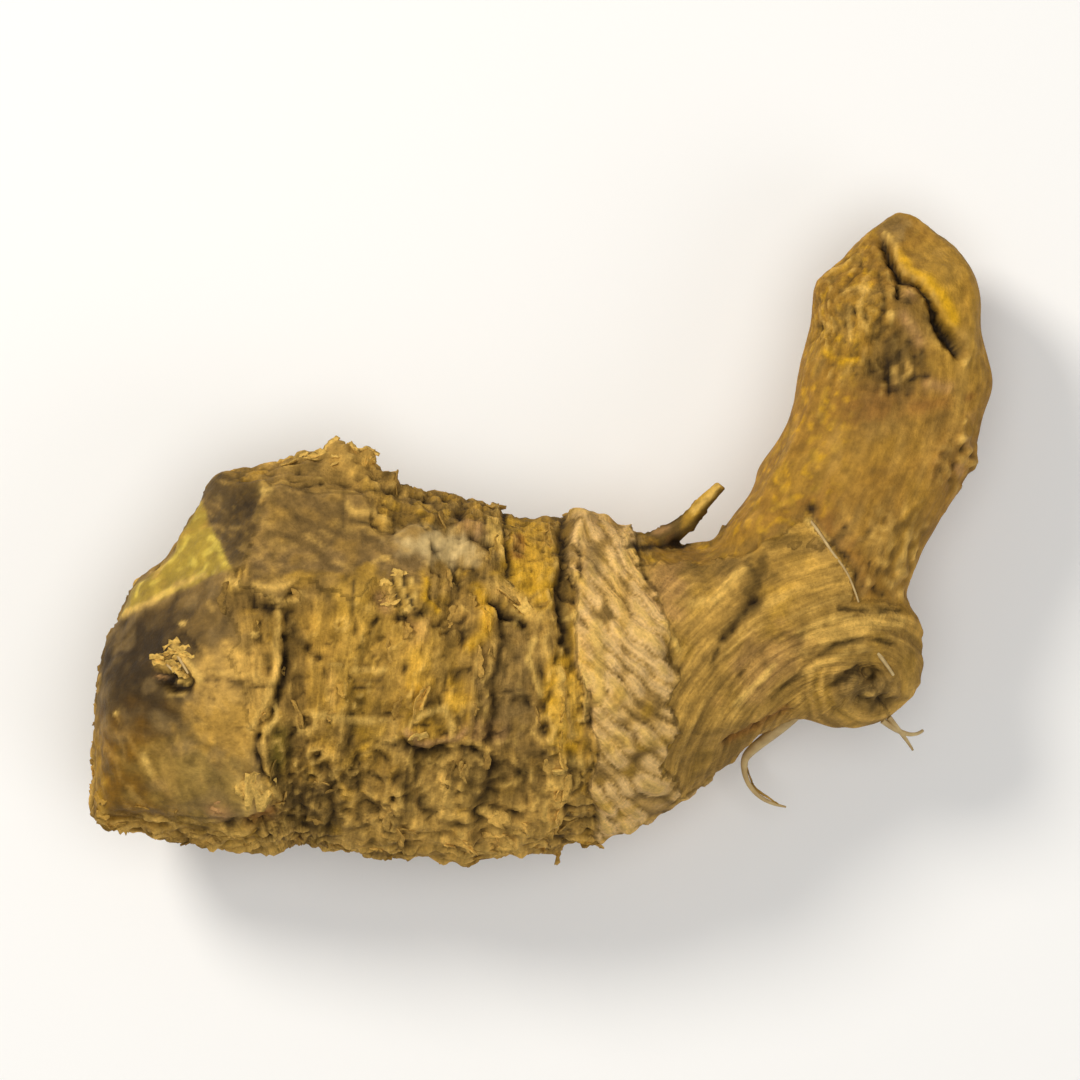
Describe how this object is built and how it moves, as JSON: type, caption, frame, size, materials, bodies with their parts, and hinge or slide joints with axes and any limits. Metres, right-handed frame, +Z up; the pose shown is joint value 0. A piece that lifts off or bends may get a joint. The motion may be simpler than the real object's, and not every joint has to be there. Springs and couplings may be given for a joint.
{
  "type": "mango ginger root",
  "caption": "Dried mango ginger rhizome: a stout ringed body, a knife-trimmed end, a leaf-scar collar and a finger bent upwards, with a broken side shoot and rootlets.",
  "frame": {"origin": "middle of the bounding box, at the height of the flat spot that it rests on", "axes": "+X along the stout body towards the neck, +Y the way the finger points, +Z up, to the side that shows best"},
  "size_m": [0.0607, 0.0443, 0.0192],
  "materials": {
    "dried_rhizome_skin": "dry matt ochre-brown rhizome skin, wrinkled along its length, with darker scars and yellow flesh where it is cut or split"
  },
  "bodies": {
    "root": {"rhizome": "dried_rhizome_skin"}
  },
  "joints": []
}
